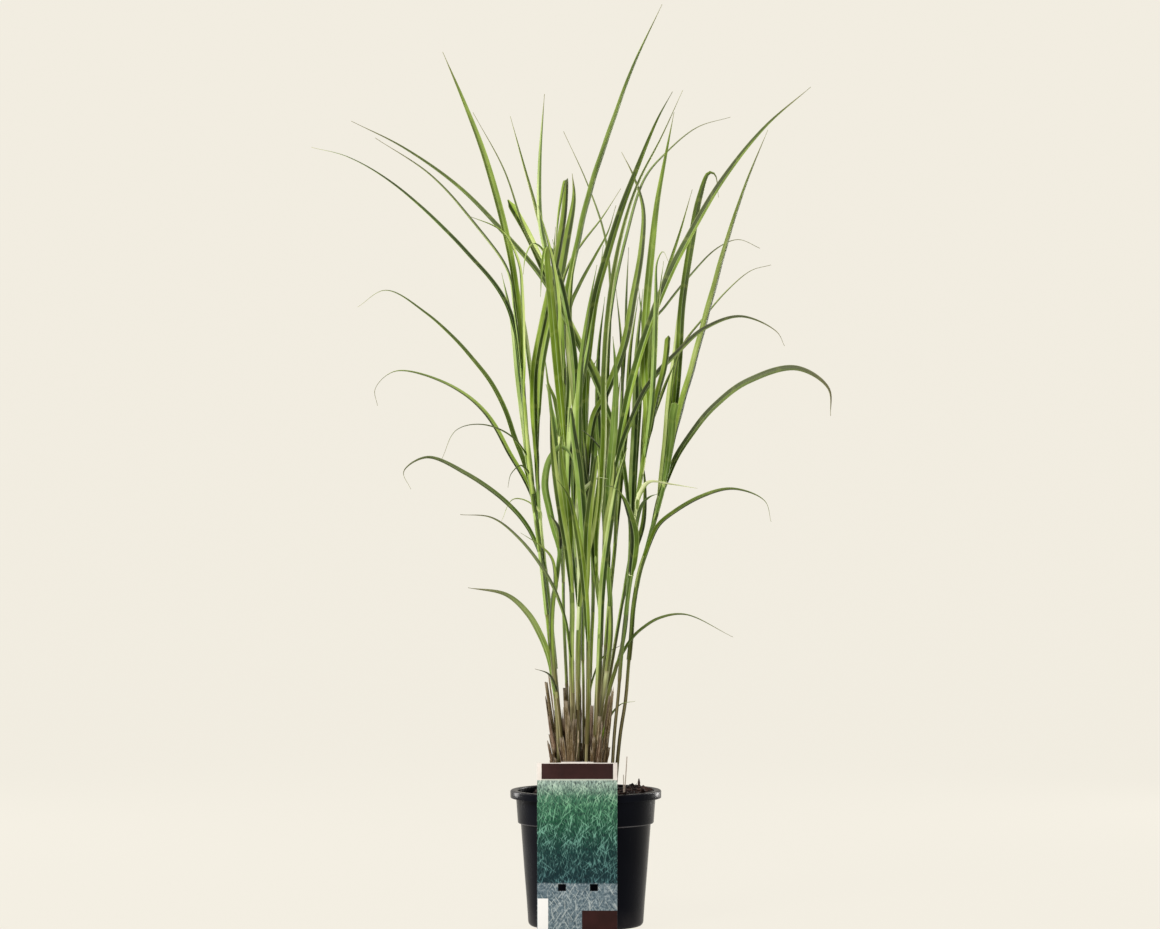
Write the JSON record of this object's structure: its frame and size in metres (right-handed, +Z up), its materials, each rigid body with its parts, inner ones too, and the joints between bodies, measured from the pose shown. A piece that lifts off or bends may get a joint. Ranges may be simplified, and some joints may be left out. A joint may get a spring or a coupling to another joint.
{
  "type": "potted porcupine grass",
  "caption": "Tall clump of upright green ornamental grass with long arching blades, rooted in bark mix in a black nursery pot with a folded picture label.",
  "frame": {"origin": "centre of the flat base of the pot, on the surface that it stands on", "axes": "+Z up along the pot's axis, -Y towards the front with the label, +X to the viewer's right"},
  "size_m": [0.6637, 0.5099, 1.1594],
  "materials": {
    "pot_plastic": "satin",
    "bark_mix": "rough, fibrous, damp",
    "label_card": "printed, semi-gloss",
    "dry_straw": "matt",
    "old_stubs": "matt, split and weathered",
    "green_grass": "fresh leaf, satin"
  },
  "bodies": {
    "root": {"pot": "pot_plastic", "soil": "bark_mix", "label": "label_card", "straw": "dry_straw", "stubs_left": "old_stubs", "stubs_left_small": "old_stubs", "stubs_centre": "old_stubs", "stubs_back": "old_stubs", "stubs_middle": "old_stubs", "stubs_front": "old_stubs", "stubs_front_right": "old_stubs", "stubs_right": "old_stubs", "stem_left_outer": "green_grass", "stem_left_inner": "green_grass", "stem_left_front": "green_grass", "stem_tall": "green_grass", "stem_bright": "green_grass", "stem_centre": "green_grass", "stem_pale": "green_grass", "stem_dark": "green_grass", "stem_sheath": "green_grass", "stem_middle_right": "green_grass", "stem_broad": "green_grass", "stem_back_right": "green_grass", "stem_crossing": "green_grass", "stem_right_front": "green_grass", "stem_right_outer": "green_grass", "stem_far_right": "green_grass", "stem_back": "green_grass", "stem_front": "green_grass"}
  },
  "joints": []
}
